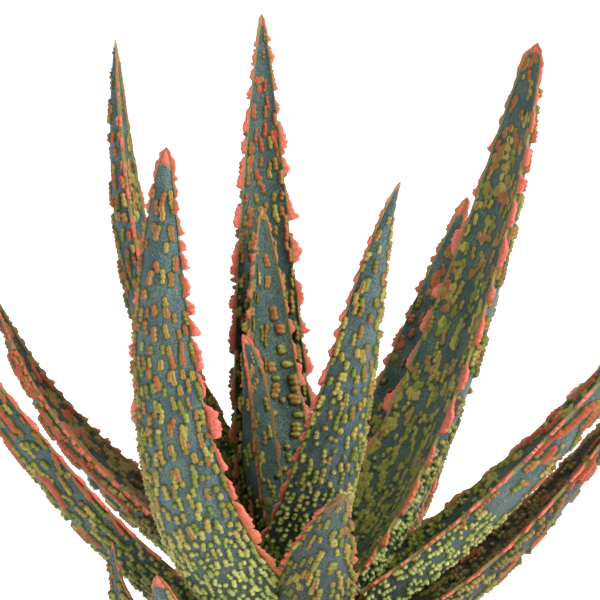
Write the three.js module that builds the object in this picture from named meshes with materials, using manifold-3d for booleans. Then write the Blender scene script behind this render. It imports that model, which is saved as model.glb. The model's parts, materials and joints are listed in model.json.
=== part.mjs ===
// A spotted hybrid aloe growing in a plain clay pot.
// Millimetres and degrees, +Z up, origin at the centre of the pot's flat base.
// The pot, the potting mix, the rooted stem and each leaf are separate solids. Every leaf is clipped
// by the leaves that grew inside it, so that their bases nest round the stem without overlapping.

import * as THREE from "three";
import { mergeVertices } from "three/addons/utils/BufferGeometryUtils.js";
import Module from "manifold-3d";

const wasm = await Module();
wasm.setup();

// ---------------------------------------------------------------- driving dimensions

const GAP = 0.35; // between solids that touch

const POT = {
  height: 98,
  rimRadius: 60,
  rimBand: 22, // height of the thick collar under the rim
  rimStep: 3.5, // how far the collar stands out from the body
  baseRadius: 41,
  wall: 5.5,
  floor: 8,
  lip: 1.6, // rounding of the rim and the foot
  drainCount: 3,
  drainRadius: 6,
  drainCircle: 22, // radius of the circle that the drain holes lie on
};

const SOIL = {
  headspace: 12, // from the rim down to the potting mix
  crown: 3, // how far the mix heaps up round the stem
  crownRadius: 15,
  shoulder: 1, // height of the heap where it runs out level
  shoulderRadius: 29,
};

const STEM = {
  radius: 8.5,
  tipRadius: 3.2,
  above: 42, // height above the potting mix
  straight: 25, // height up to which the stem keeps its full radius
  below: 26, // depth to which the woody crown reaches
  stumpRadius: 3.8, // at the bottom of the woody crown
};

const ROOTS = {
  count: 5,
  radius: 2.4,
  tipRadius: 0.9,
  start: 16, // depth at which they leave the woody crown
  reach: 27, // how far they spread before they turn down
  depth: 62, // depth at which they end
};

const soilTop = POT.height - SOIL.headspace;

// One entry per leaf, from the heart of the plant outwards, which is the order in which they nest.
//   around  compass bearing the leaf grows in, 0 along +X and 90 along +Y
//   foot    height of its foot on the stem, above the potting mix
//   start   angle above the horizontal at which it leaves the stem
//   spring  how far along the leaf that angle is felt, as a share of the straight line from foot to tip
//   reach   horizontal distance of its tip from the stem's axis
//   top     height of its tip above the potting mix
//   end     angle above the horizontal at its tip
//   lift    how far back from the tip that angle is felt, as a share of the same straight line
//   sway    sideways shift of the tip, anticlockwise seen from above
//   roll    twist of the tip about the leaf's own line
//   width   greatest width
//   thick   greatest thickness
//   cup     depth of the channel as a share of half the width
//   taper   how fast it widens from its tip: more is fuller with a blunter tip
const LEAVES = [
  {
    name: "heart_leaf",
    around: 154, foot: 40, start: 56, spring: 0.38, reach: 18, top: 122, end: 80, lift: 0.38,
    sway: 0, roll: 0, width: 16, thick: 6, cup: 0.6, taper: 2.5,
  },
  {
    name: "inner_back_leaf",
    around: 112, foot: 37, start: 68, spring: 0.38, reach: 26, top: 163, end: 87, lift: 0.39,
    sway: 0, roll: -4, width: 26, thick: 6.5, cup: 0.4, taper: 1.65,
  },
  {
    name: "front_right_leaf",
    around: 304, foot: 34, start: 56, spring: 0.41, reach: 62, top: 185, end: 62, lift: 0.25,
    sway: 0, roll: 10, width: 32, thick: 9, cup: 0.35, taper: 1.3,
  },
  {
    name: "tall_back_leaf",
    around: 106, foot: 32, start: 57, spring: 0.38, reach: 36, top: 227, end: 91, lift: 0.41,
    sway: 0, roll: -4, width: 32, thick: 8, cup: 0.4, taper: 1.4,
  },
  {
    name: "tall_left_leaf",
    around: 164, foot: 28, start: 60, spring: 0.38, reach: 61, top: 221, end: 92, lift: 0.47,
    sway: 0, roll: 5, width: 28, thick: 10, cup: 0.4, taper: 1.8,
  },
  {
    name: "front_left_leaf",
    around: 237, foot: 25, start: 12, spring: 0.35, reach: 80, top: 199, end: 98, lift: 0.44,
    sway: 6, roll: 8, width: 36, thick: 10.5, cup: 0.35, taper: 1.7,
  },
  {
    name: "mid_left_leaf",
    around: 161, foot: 23, start: 33, spring: 0.38, reach: 108, top: 130, end: 73, lift: 0.38,
    sway: 0, roll: 0, width: 28, thick: 8.5, cup: 0.4, taper: 1.6,
  },
  {
    name: "tall_right_leaf",
    around: 27, foot: 20, start: 30, spring: 0.28, reach: 94, top: 216, end: 82, lift: 0.27,
    sway: 0, roll: 9, width: 36, thick: 10, cup: 0.32, taper: 2.15,
  },
  {
    name: "right_back_leaf",
    around: 50, foot: 17, start: 43, spring: 0.4, reach: 96, top: 157, end: 65, lift: 0.45,
    sway: 0, roll: 2, width: 28, thick: 8.5, cup: 0.4, taper: 1.75,
  },
  {
    name: "short_front_leaf",
    around: 284, foot: 19, start: 8, spring: 0.38, reach: 69, top: 87, end: 46, lift: 0.46,
    sway: 0, roll: 7, width: 35, thick: 9, cup: 0.4, taper: 1.55,
  },
  {
    name: "back_leaf",
    around: 96, foot: 18, start: 40, spring: 0.38, reach: 66, top: 104, end: 66, lift: 0.38,
    sway: 0, roll: 0, width: 26, thick: 8, cup: 0.4, taper: 1.6,
  },
  {
    name: "back_right_leaf",
    around: 46, foot: 13, start: 26, spring: 0.38, reach: 85, top: 102, end: 84, lift: 0.38,
    sway: 4, roll: 0, width: 28, thick: 8, cup: 0.4, taper: 1.6,
  },
  {
    name: "low_right_leaf",
    around: 0, foot: 15, start: 29, spring: 0.38, reach: 148, top: 159, end: 52, lift: 0.38,
    sway: 0, roll: -3, width: 30, thick: 8.5, cup: 0.4, taper: 1.75,
  },
  {
    name: "back_left_leaf",
    around: 128, foot: 12, start: 32, spring: 0.38, reach: 76, top: 74, end: 62, lift: 0.38,
    sway: 0, roll: 0, width: 26, thick: 8, cup: 0.4, taper: 1.6,
  },
  {
    name: "low_back_leaf",
    around: 74, foot: 11, start: 26, spring: 0.38, reach: 94, top: 62, end: 52, lift: 0.38,
    sway: 0, roll: 0, width: 27, thick: 8, cup: 0.4, taper: 1.6,
  },
  {
    name: "small_left_leaf",
    around: 229, foot: 8, start: 24, spring: 0.38, reach: 66, top: 55, end: 88, lift: 0.4,
    sway: 0, roll: 8, width: 27, thick: 8, cup: 0.4, taper: 2.2,
  },
  {
    name: "lowest_right_leaf",
    around: 8, foot: 7, start: 12, spring: 0.39, reach: 133, top: 116, end: 53, lift: 0.4,
    sway: 0, roll: 4, width: 28, thick: 8, cup: 0.4, taper: 1.6,
  },
  {
    name: "low_front_leaf",
    around: 322, foot: 7, start: 26, spring: 0.38, reach: 84, top: 44, end: 34, lift: 0.38,
    sway: 0, roll: 0, width: 28, thick: 8.5, cup: 0.4, taper: 1.7,
  },
  {
    name: "low_left_leaf",
    around: 197, foot: 6, start: 33, spring: 0.41, reach: 143, top: 170, end: 56, lift: 0.35,
    sway: 0, roll: 10, width: 27, thick: 8, cup: 0.35, taper: 1.9,
  },
  {
    name: "lowest_left_leaf",
    around: 206, foot: 3, start: 8, spring: 0.38, reach: 68, top: 62, end: 96, lift: 0.38,
    sway: 6, roll: 0, width: 22, thick: 7, cup: 0.4, taper: 1.6,
  },
];

// How finely the round pieces and the roots are faceted.
const POT_SEGMENTS = 48;
const DRAIN_SEGMENTS = 20;
const SOIL_SEGMENTS = 40;
const STEM_SEGMENTS = 20;
const ROOT_STEPS = 7;
const ROOT_SIDES = 7;

// How finely a leaf is faceted: rings along it, and faces across each side of a ring.
const LEAF_RINGS = 17;
const LEAF_FACES = 6;
const RING_CROWDING = 1.25; // above 1, rings crowd towards the tip
const HEADING_STEP = 0.01; // share of a leaf's length over which its direction is measured

// What every leaf has in common.
const FOOT_RADIUS = 3; // a leaf's line starts this far from the stem's axis, and the stem clips it
const FOOT_NARROWING = 0.3; // share of its width that a leaf loses at its foot
const FOOT_STRETCH = 0.14; // share of its length over which it regains that width
const TIP_ROUNDING = 0.85; // below 1, every leaf's outline is rounder at the very tip
const CHANNEL_POWER = 1.7; // 1 folds the channel like a V, 2 rounds it like a bowl
const BACK_POWER = 2.2; // how flat the middle of the leaf's back is
const BACK_FULLNESS = 0.7; // below 1, the back stays thick close to the margins
const THICKNESS_POWER = 0.9; // below 1, a leaf thins more slowly than it narrows
const CUP_FADE = 0.35; // share of its channel that a leaf has lost by its tip

// ---------------------------------------------------------------- solids from three.js geometry

/** A manifold-3d solid from a closed three.js geometry. */
function solidOf(geometry) {
  const bare = geometry.clone();
  for (const name of Object.keys(bare.attributes)) {
    if (name !== "position") bare.deleteAttribute(name);
  }
  const merged = mergeVertices(bare, 1e-4);
  return new wasm.Manifold(
    new wasm.Mesh({
      numProp: 3,
      vertProperties: new Float32Array(merged.attributes.position.array),
      triVerts: new Uint32Array(merged.index.array),
    }),
  );
}

/** The three.js geometry of a manifold-3d solid. */
function geometryOf(solid) {
  const mesh = solid.getMesh();
  const geometry = new THREE.BufferGeometry();
  geometry.setAttribute("position", new THREE.BufferAttribute(mesh.vertProperties, 3));
  geometry.setIndex(new THREE.BufferAttribute(mesh.triVerts, 1));
  const flat = geometry.toNonIndexed();
  flat.computeVertexNormals();
  return flat;
}

/** A solid turned about Z from [radius, height] points that run up the outside. */
function turned(points, segments) {
  const profile = points.map(([radius, height]) => new THREE.Vector2(radius, height));
  return solidOf(new THREE.LatheGeometry(profile, segments).rotateX(Math.PI / 2));
}

/** Points of a quarter turn between two perpendicular edges, as [radius, height]. */
function rounded(centreR, centreZ, radius, fromDegrees, toDegrees, steps = 2) {
  return Array.from({ length: steps + 1 }, (_, i) => {
    const a = THREE.MathUtils.degToRad(THREE.MathUtils.lerp(fromDegrees, toDegrees, i / steps));
    return [centreR + radius * Math.cos(a), centreZ + radius * Math.sin(a)];
  });
}

/** A closed skin over rings of equal length, from a first ring to a last point or ring. */
function lofted(rings) {
  const size = rings[0].length;
  const centre = (ring) =>
    ring.reduce((sum, p) => sum.add(p), new THREE.Vector3()).divideScalar(ring.length);
  const faces = [];
  for (let k = 0; k + 1 < rings.length; k++) {
    for (let j = 0; j < size; j++) {
      const next = (j + 1) % size;
      faces.push(rings[k][j], rings[k][next], rings[k + 1][next]);
      faces.push(rings[k][j], rings[k + 1][next], rings[k + 1][j]);
    }
  }
  for (const [ring, outwards] of [[rings[0], true], [rings[rings.length - 1], false]]) {
    const middle = centre(ring);
    for (let j = 0; j < size; j++) {
      const next = ring[(j + 1) % size];
      faces.push(...(outwards ? [middle, next, ring[j]] : [middle, ring[j], next]));
    }
  }
  return solidOf(new THREE.BufferGeometry().setFromPoints(faces));
}

/** The largest of the bodies that a cut left. */
function largestBody(solid) {
  return solid.decompose().reduce((a, b) => (b.volume() > a.volume() ? b : a));
}

// ---------------------------------------------------------------- the pot and what fills it

/** Radius of the pot's cavity at a height above its base. */
function cavityRadius(height) {
  const share = (height - POT.floor) / (POT.height - POT.floor);
  const low = POT.baseRadius - POT.wall;
  const high = POT.rimRadius - POT.rimStep - POT.wall;
  return THREE.MathUtils.lerp(low, high, share);
}

function potSolid() {
  const { height, rimRadius, rimBand, rimStep, baseRadius, floor, lip } = POT;
  const bodyTop = rimRadius - rimStep; // the body's radius, carried up to the rim's height
  const bandFoot = height - rimBand;
  const bodyAtBand = THREE.MathUtils.lerp(baseRadius, bodyTop, bandFoot / height);
  const profile = [
    [0, 0],
    ...rounded(baseRadius - lip, lip, lip, -90, 0),
    [bodyAtBand, bandFoot],
    ...rounded(rimRadius - lip, bandFoot + lip, lip, -60, 0),
    ...rounded(rimRadius - lip, height - lip, lip, 0, 90),
    ...rounded(cavityRadius(height) + lip, height - lip, lip, 90, 170),
    [cavityRadius(floor), floor],
    [0, floor],
  ];
  let pot = turned(profile, POT_SEGMENTS);
  for (let i = 0; i < POT.drainCount; i++) {
    const angle = (2 * Math.PI * (i + 0.5)) / POT.drainCount;
    const drill = new THREE.CylinderGeometry(POT.drainRadius, POT.drainRadius, 3 * floor, DRAIN_SEGMENTS)
      .rotateX(Math.PI / 2)
      .translate(POT.drainCircle * Math.cos(angle), POT.drainCircle * Math.sin(angle), floor / 2);
    pot = pot.subtract(solidOf(drill));
  }
  return pot;
}

/** The potting mix before the stem and roots are taken out of it, its surface raised by grow. */
function soilSolid(grow = 0) {
  const bottom = POT.floor + GAP;
  const surface = soilTop + grow;
  return turned(
    [
      [0, bottom],
      [cavityRadius(bottom) - GAP, bottom],
      [cavityRadius(surface) - GAP, surface],
      [SOIL.shoulderRadius, surface + SOIL.shoulder],
      [SOIL.crownRadius, surface + SOIL.crown],
      [0, surface + SOIL.crown],
    ],
    SOIL_SEGMENTS,
  );
}

/** The stem with its fleshy roots, made larger all round by grow. */
function stemSolid(grow = 0) {
  const { radius, tipRadius, above, straight, below, stumpRadius } = STEM;
  const bottom = soilTop - below - grow;
  const top = soilTop + above + grow;
  let stem = turned(
    [
      [0, bottom],
      [stumpRadius + grow, bottom],
      [radius + grow, soilTop],
      [radius + grow, soilTop + straight],
      [tipRadius + grow, top],
      [0, top],
    ],
    STEM_SEGMENTS,
  );
  for (let i = 0; i < ROOTS.count; i++) {
    stem = stem.add(rootSolid((2 * Math.PI * i) / ROOTS.count, grow));
  }
  return stem;
}

/** One root, which leaves the woody crown sideways and turns down through the mix. */
function rootSolid(bearing, grow) {
  const { radius, tipRadius, start, reach, depth } = ROOTS;
  const at = (r, down) =>
    new THREE.Vector3(r * Math.cos(bearing), r * Math.sin(bearing), soilTop - down);
  const line = new THREE.CubicBezierCurve3(
    at(0, start),
    at(0.6 * reach, start),
    at(1.1 * reach, 0.6 * depth),
    at(0.9 * reach, depth + grow),
  );
  const side = new THREE.Vector3(-Math.sin(bearing), Math.cos(bearing), 0);
  const rings = Array.from({ length: ROOT_STEPS + 1 }, (_, k) => {
    const share = k / ROOT_STEPS;
    const up = new THREE.Vector3().crossVectors(line.getTangent(share), side).normalize();
    const size = THREE.MathUtils.lerp(radius, tipRadius, share) + grow;
    return Array.from({ length: ROOT_SIDES }, (_, j) => {
      const a = (2 * Math.PI * j) / ROOT_SIDES;
      return line
        .getPoint(share)
        .addScaledVector(side, size * Math.cos(a))
        .addScaledVector(up, size * Math.sin(a));
    });
  });
  return lofted(rings);
}

// ---------------------------------------------------------------- leaves

/** The line that a leaf grows along, in its own upright plane: x outwards, y up. */
function leafLine(leaf) {
  const foot = new THREE.Vector2(FOOT_RADIUS, soilTop + leaf.foot);
  const tip = new THREE.Vector2(leaf.reach, soilTop + leaf.top);
  const chord = foot.distanceTo(tip);
  const heading = (degrees) => {
    const a = THREE.MathUtils.degToRad(degrees);
    return new THREE.Vector2(Math.cos(a), Math.sin(a));
  };
  return new THREE.CubicBezierCurve(
    foot,
    foot.clone().addScaledVector(heading(leaf.start), leaf.spring * chord),
    tip.clone().addScaledVector(heading(leaf.end), -leaf.lift * chord),
    tip,
  );
}

/** How full a leaf is at a share of its length from the foot: 1 at the foot, 0 at the tip. */
function fullness(leaf, share) {
  return 1 - Math.pow(1 - Math.pow(1 - share, TIP_ROUNDING), leaf.taper);
}

/** Half the width of a leaf at a share of its length from the foot. */
function halfWidth(leaf, share) {
  const foot = Math.max(0, 1 - share / FOOT_STRETCH);
  return 0.5 * leaf.width * fullness(leaf, share) * (1 - FOOT_NARROWING * foot * foot);
}

/** Points round a leaf's section: [across, up], from one margin over the channel and back under it. */
function leafSection(leaf, share, grow) {
  const half = halfWidth(leaf, share) + grow;
  const thick = leaf.thick * Math.pow(fullness(leaf, share), THICKNESS_POWER) + 2 * grow;
  const cup = leaf.cup * half * (1 - CUP_FADE * share);
  const channel = (x) => thick / 2 + cup * Math.pow(Math.abs(x), CHANNEL_POWER);
  const points = [];
  for (let j = 0; j < LEAF_FACES; j++) {
    const x = Math.cos((Math.PI * j) / LEAF_FACES);
    points.push([half * x, channel(x)]);
  }
  for (let j = 0; j < LEAF_FACES; j++) {
    const x = -Math.cos((Math.PI * j) / LEAF_FACES);
    const depth = thick * Math.pow(1 - Math.pow(Math.abs(x), BACK_POWER), BACK_FULLNESS);
    points.push([half * x, channel(x) - depth]);
  }
  return points;
}

/** A whole leaf, made larger all round by grow. */
function leafSolid(leaf, grow = 0) {
  const line = leafLine(leaf);
  const bearing = THREE.MathUtils.degToRad(leaf.around);
  const outwards = new THREE.Vector3(Math.cos(bearing), Math.sin(bearing), 0);
  const sideways = new THREE.Vector3(-Math.sin(bearing), Math.cos(bearing), 0);
  const upwards = new THREE.Vector3(0, 0, 1);
  const place = (share) => {
    const p = line.getPointAt(share);
    return new THREE.Vector3()
      .addScaledVector(outwards, p.x)
      .addScaledVector(upwards, p.y)
      .addScaledVector(sideways, leaf.sway * share * share);
  };
  const rings = [];
  for (let k = 0; k < LEAF_RINGS; k++) {
    const share = 1 - Math.pow(1 - k / LEAF_RINGS, RING_CROWDING);
    const before = place(Math.max(0, share - HEADING_STEP));
    const along = place(Math.min(1, share + HEADING_STEP)).sub(before).normalize();
    const across = sideways.clone().addScaledVector(along, -sideways.dot(along)).normalize();
    across.applyAxisAngle(along, THREE.MathUtils.degToRad(leaf.roll) * share);
    const inwards = new THREE.Vector3().crossVectors(along, across);
    const middle = place(share);
    rings.push(
      leafSection(leaf, share, grow).map(([x, y]) =>
        middle.clone().addScaledVector(across, x).addScaledVector(inwards, y),
      ),
    );
  }
  const heading = place(1).sub(place(1 - HEADING_STEP)).normalize();
  const tip = place(1).addScaledVector(heading, 2 * grow);
  rings.push(rings[0].map(() => tip.clone()));
  return lofted(rings);
}

/** Each leaf's solid by name, clipped by the stem, the mix and the leaves inside it. */
function nestedLeaves() {
  const middle = stemSolid(GAP).add(soilSolid(GAP));
  const inside = [];
  const leaves = new Map();
  for (const leaf of LEAVES) {
    let solid = leafSolid(leaf).subtract(middle);
    for (const inner of inside) solid = solid.subtract(inner);
    leaves.set(leaf.name, largestBody(solid));
    inside.push(leafSolid(leaf, GAP));
  }
  return leaves;
}

// ---------------------------------------------------------------- materials and the whole

const clay = new THREE.MeshStandardMaterial({ color: 0xb5654a, roughness: 0.85, metalness: 0 });
const pottingMix = new THREE.MeshStandardMaterial({ color: 0x33261c, roughness: 1, metalness: 0 });
const bark = new THREE.MeshStandardMaterial({ color: 0x7c7a52, roughness: 0.8, metalness: 0 });
const skin = new THREE.MeshStandardMaterial({ color: 0x556a67, roughness: 0.5, metalness: 0 });

function mesh(name, solid, material) {
  const made = new THREE.Mesh(geometryOf(solid), material);
  made.name = name;
  return made;
}

const plant = new THREE.Group();
plant.add(mesh("pot", potSolid(), clay));
plant.add(mesh("potting_mix", largestBody(soilSolid().subtract(stemSolid(GAP))), pottingMix));
plant.add(mesh("stem_and_roots", stemSolid(), bark));
for (const [name, solid] of nestedLeaves()) plant.add(mesh(name, solid, skin));

export default plant;
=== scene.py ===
"""A spotted hybrid aloe in a clay pot: the looks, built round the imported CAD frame."""

import json
import math

import bmesh
import bpy
import numpy as np
from mathutils import Euler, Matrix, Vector, noise
from mathutils.bvhtree import BVHTree


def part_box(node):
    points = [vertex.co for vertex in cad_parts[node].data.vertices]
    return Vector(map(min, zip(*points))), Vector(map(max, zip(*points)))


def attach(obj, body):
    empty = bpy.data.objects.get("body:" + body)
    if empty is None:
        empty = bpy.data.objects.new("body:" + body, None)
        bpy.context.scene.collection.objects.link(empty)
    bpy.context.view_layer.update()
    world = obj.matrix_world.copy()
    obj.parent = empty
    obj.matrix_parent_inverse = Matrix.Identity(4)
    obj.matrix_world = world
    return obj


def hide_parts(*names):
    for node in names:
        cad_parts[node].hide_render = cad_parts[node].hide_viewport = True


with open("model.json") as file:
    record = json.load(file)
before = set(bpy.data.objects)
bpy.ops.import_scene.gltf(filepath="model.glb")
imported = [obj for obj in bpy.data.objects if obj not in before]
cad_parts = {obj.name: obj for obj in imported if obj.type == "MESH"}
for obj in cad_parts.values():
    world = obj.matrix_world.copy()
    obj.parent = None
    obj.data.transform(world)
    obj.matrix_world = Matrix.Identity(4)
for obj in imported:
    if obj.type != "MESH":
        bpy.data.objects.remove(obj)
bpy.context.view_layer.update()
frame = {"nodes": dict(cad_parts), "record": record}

MM = 0.001  # one millimetre, in metres
RING = 12  # corners round each ring of a leaf's CAD solid
HALF_RING = RING // 2  # the first and this corner are the two margins
ROW_STEP = 0.38  # mm between rows along a leaf
COLUMN_STEP = 0.46  # mm between columns across a leaf
MOST_QUADS = 88000  # for one leaf, so that its piece stays under 200000 triangles
FIN_STEPS = (0.0, 0.3, 0.65, 1.0)  # columns from the root of a margin tooth to its edge
CLAMP = 0.1  # mm that a leaf's skin may stand off its CAD solid where others clip it
CLEARANCE = 0.15  # mm that a raised spot or the bark keeps from the next leaf
FAR_ENOUGH = 3.0  # mm beyond which the next leaf doesn't matter to a raised spot
GIRTH = 2.35  # of a leaf's skin with its teeth, in widths
LEAF_APART = 300  # mm between the streaks of one leaf and the next, so that no two are alike
OTHER_SIDE = 60  # mm between the streaks of a leaf's two sides
MARGIN_SLACK = 0.4  # mm that a margin may stand off its CAD solid where others clip it
RING_MATCH = 1.6  # mm within which a CAD corner counts as the one that a ring was expected to have
FEWEST_FOUND = 3  # corners of a ring that have to be there for the leaf to go on

crown = Vector((0, 0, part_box("potting_mix")[1].z / MM))


# ---- small helpers


def smoothstep(low, high, value):
    """0 below low, 1 above high, and a soft rise between."""
    t = np.clip((value - low) / (high - low), 0, 1)
    return t * t * (3 - 2 * t)


def unit(vectors):
    """Vectors along the last axis, scaled to length 1."""
    return vectors / np.maximum(np.linalg.norm(vectors, axis=-1, keepdims=True), 1e-9)


def wander(rng, positions, wavelength, octaves=2):
    """Smooth noise along a line, from about -1 to 1."""
    total = np.zeros_like(positions, float)
    for octave in range(octaves):
        step = wavelength / 2**octave
        low = positions.min()
        count = int((positions.max() - low) / step) + 3
        heights = rng.uniform(-1, 1, count)
        place = (positions - low) / step
        cell = place.astype(int)
        t = place - cell
        t = t * t * (3 - 2 * t)
        total += (heights[cell] * (1 - t) + heights[cell + 1] * t) / 2**octave
    return total


def spline(knots, values, wanted):
    """Natural cubic spline through values, which vary along their first axis, read at wanted places."""
    count = len(knots)
    gap = np.diff(knots)
    shape = (-1,) + (1,) * (values.ndim - 1)
    slope = np.diff(values, axis=0) / gap.reshape(shape)
    system = np.eye(count)
    right = np.zeros_like(values)
    for i in range(1, count - 1):
        system[i, i - 1 : i + 2] = gap[i - 1], 2 * (gap[i - 1] + gap[i]), gap[i]
        right[i] = 6 * (slope[i] - slope[i - 1])
    bend = np.linalg.solve(system, right.reshape(count, -1)).reshape(values.shape)
    cell = np.clip(np.searchsorted(knots, wanted) - 1, 0, count - 2)
    width = gap[cell].reshape(shape)
    a = (knots[cell + 1] - wanted).reshape(shape) / width
    b = 1 - a
    curve = (a**3 - a) * bend[cell] + (b**3 - b) * bend[cell + 1]
    return a * values[cell] + b * values[cell + 1] + curve * width**2 / 6


def cad_solid(node):
    """A CAD node's corners in millimetres, each listed once, and its triangles."""
    data = frame["nodes"][node].data
    data.calc_loop_triangles()
    corners = np.empty(len(data.vertices) * 3, np.float32)
    data.vertices.foreach_get("co", corners)
    triangles = np.empty(len(data.loop_triangles) * 3, np.int32)
    data.loop_triangles.foreach_get("vertices", triangles)
    corners = corners.reshape(-1, 3) / MM
    keys = np.round(corners, 3)
    _, first, same = np.unique(keys, axis=0, return_index=True, return_inverse=True)
    return corners[first].astype(float), same.reshape(-1)[triangles].reshape(-1, 3)


def new_piece(name, vertices, faces, material, slot, replaces=(), smooth=True):
    """A mesh object from millimetre vertices, riding on the plant's one body."""
    data = bpy.data.meshes.new(name)
    data.from_pydata((np.asarray(vertices) * MM).tolist(), [], faces)
    data.polygons.foreach_set("use_smooth", [smooth] * len(data.polygons))
    data.materials.append(material)
    data.update()
    piece = bpy.data.objects.new(name, data)
    bpy.context.scene.collection.objects.link(piece)
    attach(piece, "root")
    if replaces:
        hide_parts(*replaces)
    return piece


def add_field(piece, name, values):
    """A number at each vertex, which the material reads by name."""
    field = piece.data.attributes.new(name, "FLOAT", "POINT")
    field.data.foreach_set("value", np.asarray(values, np.float32).ravel())


# ---- leaf shapes from the frame


def leaf_rings(corners, triangles):
    """The rings of a leaf's CAD solid from its foot to its tip, whole again where neighbours clip it.

    Each ring runs from one margin over the channel to the other margin and back under the leaf. The tip,
    a search tree of the solid and a 1 for each ring corner that a neighbour clips come with them.
    """
    third = {}
    for a, b, c in triangles:
        third[a, b], third[b, c], third[c, a] = c, a, b
    spokes = {}
    for a, b in third:
        spokes.setdefault(a, []).append(b)
    far = np.linalg.norm(corners - np.array(crown), axis=1)
    tip = max((v for v in spokes if len(spokes[v]) == RING), key=lambda v: far[v])
    order = [spokes[tip][0]]
    while len(order) < RING:
        order.append(third[tip, order[-1]])
    rings = [[int(v) for v in order]]
    places = [corners[rings[0]]]
    found_at = [np.ones(RING)]
    while True:
        above = rings[-1]
        guess = continued(places, corners[tip])
        below = []
        for j in range(RING):
            a, b = above[j], above[(j + 1) % RING]
            found = third.get((b, a)) if a is not None and b is not None else None
            near = found is not None and np.linalg.norm(corners[found] - guess[j]) < RING_MATCH
            below.append(int(found) if near else None)
        kept = [j for j in range(RING) if below[j] is not None]
        if len(kept) < FEWEST_FOUND:
            break
        ring = guess.copy()
        ring += np.mean([corners[below[j]] - guess[j] for j in kept], axis=0)
        for j in kept:
            ring[j] = corners[below[j]]
        rings.append(below)
        places.append(ring)
        found_at.append(np.array([v is not None for v in below], float))
    whole = np.array(places[::-1])
    turn = -first_margin(whole[len(whole) * 2 // 3])
    whole = np.roll(whole, turn, axis=1)
    clipped = 1 - np.roll(np.array(found_at[::-1]), turn, axis=1)
    tree = BVHTree.FromPolygons(corners.tolist(), triangles.tolist())
    return whole, corners[tip], tree, clipped


def first_margin(ring):
    """The corner of a ring from which its channel side runs to the other margin."""
    chords = np.linalg.norm(ring - np.roll(ring, -HALF_RING, axis=0), axis=1)
    margin = int(np.argmax(chords[:HALF_RING]))
    middle = 0.5 * (ring[margin] + ring[margin + HALF_RING])
    quarter = HALF_RING // 2
    after = np.linalg.norm(ring[margin + quarter] - middle)
    before = np.linalg.norm(ring[margin - quarter] - middle)
    return margin if after < before else margin + HALF_RING


def continued(places, tip):
    """Where the next ring towards the foot would be, judged by the rings already found."""
    if len(places) < 3:
        return places[-1] + (places[-1] - (places[-2] if len(places) > 1 else tip)) * 1.2
    last, before, earlier = places[-1], places[-2], places[-3]
    step, old_step = last - before, before - earlier
    growth = np.linalg.norm(step.mean(0)) / max(np.linalg.norm(old_step.mean(0)), 1e-6)
    return last + step + (step - old_step * growth) * 0.9 + step * (growth - 1) * 0.4


# ---- how each leaf looks

# tooth   greatest height of the margin teeth, mm
# pitch   usual length of a tooth along the margin, mm
# gap     usual space between teeth, as a share of a tooth's length
# saw     how jagged a tooth's edge is, mm
# coral   how red the hearts of the raised spots are near the tip, 0 to 1
# brown   how far the channel side is darkened to umber brown, 0 to 1
# dusk    how far the back is darkened to umber brown, 0 to 1
# tip     width of the coral rim round the tip, mm
# spots   how thickly the raised spots stand, 1 is usual
# streak  share of the spots above the base that are long coral bars, patches apart
# blotch  share of the channel side's spots that run together into patches
# run     distance from the tip at which the coral rim is down to half its width, mm
# cap     length of the coral point at the very tip, mm
# blunt   how far each margin bulges outwards behind the tip, mm
# worn    how far the margins have turned brown below the tip, 0 to 1
# dry     length of the withered end, mm
USUAL = dict(
    tooth=2.6, pitch=8, saw=0.5, coral=0.6, brown=0.1, dusk=0.0, tip=0.6,
    spots=1.1, blotch=0.5, run=9, cap=2.5, dry=0, gap=0.25, worn=0.0, blunt=0.0, streak=0.0,
)
LOOKS = {
    "heart_leaf": dict(
        tooth=3.0, pitch=13, saw=0.3, coral=0.05, brown=0.05, tip=1.7, spots=0.5, blotch=0.25,
        run=18, cap=4, gap=0.12, worn=0.6, blunt=1.3,
    ),
    "inner_back_leaf": dict(pitch=9, coral=0.5, brown=0.0, spots=1.05, blotch=0.1, cap=3),
    "front_right_leaf": dict(tooth=2.4, pitch=7, coral=0.4, spots=1.15),
    "tall_back_leaf": dict(
        tooth=3.9, pitch=12, saw=0.6, coral=1.0, brown=0.0, tip=0.8, spots=1.2, blotch=0.15, cap=4,
    ),
    "tall_left_leaf": dict(tooth=2.0, pitch=9, coral=0.75, brown=0.15, spots=1.15, cap=3),
    "front_left_leaf": dict(
        tooth=4.2, pitch=10.5, saw=0.6, coral=0.65, tip=1.4, spots=1.12, cap=7, gap=0.03, blunt=0.7,
    ),
    "mid_left_leaf": dict(
        pitch=4.5, saw=0.6, coral=0.9, brown=0.9, dusk=0.6, gap=0.5, streak=0.3,
    ),
    "tall_right_leaf": dict(
        tooth=4.2, pitch=12, coral=0.65, brown=0.0, tip=1.8, spots=0.75, blotch=0.6,
        run=11, cap=4, gap=0.35, blunt=2.4,
    ),
    "right_back_leaf": dict(
        tooth=3.0, saw=0.6, coral=0.8, brown=0.05, tip=1.5, spots=0.85, cap=8,
    ),
    "short_front_leaf": dict(tooth=3.6, coral=0.45, brown=0.3, dusk=0.5, spots=1.5, dry=8),
    "back_right_leaf": dict(tooth=2.8, brown=0.3, dusk=0.1),
    "low_right_leaf": dict(
        tooth=4.0, pitch=9, saw=0.7, coral=1.0, brown=0.15, dusk=0.1, spots=0.72, blotch=0.3,
        gap=0.5, streak=0.3,
    ),
    "small_left_leaf": dict(tooth=2.2, pitch=6, brown=0.3, tip=1.2, cap=5),
    "lowest_right_leaf": dict(
        tooth=3.0, pitch=7, saw=0.6, coral=0.7, brown=1.0, dusk=0.8, spots=0.85, gap=0.7, streak=0.15,
    ),
    "low_left_leaf": dict(
        tooth=3.0, pitch=9, brown=0.5, dusk=0.3, spots=1.15, gap=0.4, streak=0.12,
    ),
    "lowest_left_leaf": dict(tooth=2.2, pitch=7, brown=0.5, dusk=0.2),
}

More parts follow.
